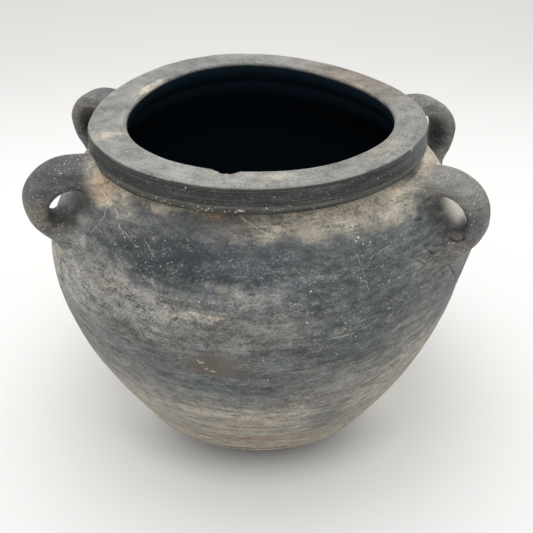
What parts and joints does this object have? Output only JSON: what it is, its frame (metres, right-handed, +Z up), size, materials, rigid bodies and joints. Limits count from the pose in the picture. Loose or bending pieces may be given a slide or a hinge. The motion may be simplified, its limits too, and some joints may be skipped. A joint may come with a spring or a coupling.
{
  "type": "black clay pot with loop handles",
  "caption": "Round-bellied handmade black clay pot with a heavy flat rim, an open mouth, a flat foot and loop strap handles standing round its shoulder.",
  "frame": {"origin": "centre of the foot, on the surface the pot stands on", "axes": "+Z up along the pot's axis, out of the mouth; the handles stand in two pairs at 24 degrees either side of +X and of -X; -Y is the front"},
  "size_m": [0.2648, 0.2648, 0.1972],
  "materials": {
    "floor_clay": "matt fired black clay, scuffed and dusty on the foot",
    "lower_wall_clay": "matt grey-black clay with tan wiping streaks",
    "upper_wall_clay": "matt slate-grey clay, lightly rubbed, with blue-grey and tan clouding",
    "rim_clay": "matt lighter grey clay with fine turning lines and pale mottling",
    "handle_clay": "matt dark grey clay with pale specks",
    "luting_clay": "matt clay pressed and smeared by finger, dusty tan"
  },
  "bodies": {
    "root": {"floor_disc": "floor_clay", "lower_wall": "lower_wall_clay", "upper_wall": "upper_wall_clay", "rim_ring": "rim_clay", "handle_front_left": "handle_clay", "handle_front_right": "handle_clay", "handle_back_left": "handle_clay", "handle_back_right": "handle_clay", "luting_coil_upper_front_left": "luting_clay", "luting_coil_upper_front_right": "luting_clay", "luting_coil_upper_back_left": "luting_clay", "luting_coil_upper_back_right": "luting_clay", "luting_coil_lower_front_left": "luting_clay", "luting_coil_lower_front_right": "luting_clay", "luting_coil_lower_back_left": "luting_clay", "luting_coil_lower_back_right": "luting_clay"}
  },
  "joints": []
}
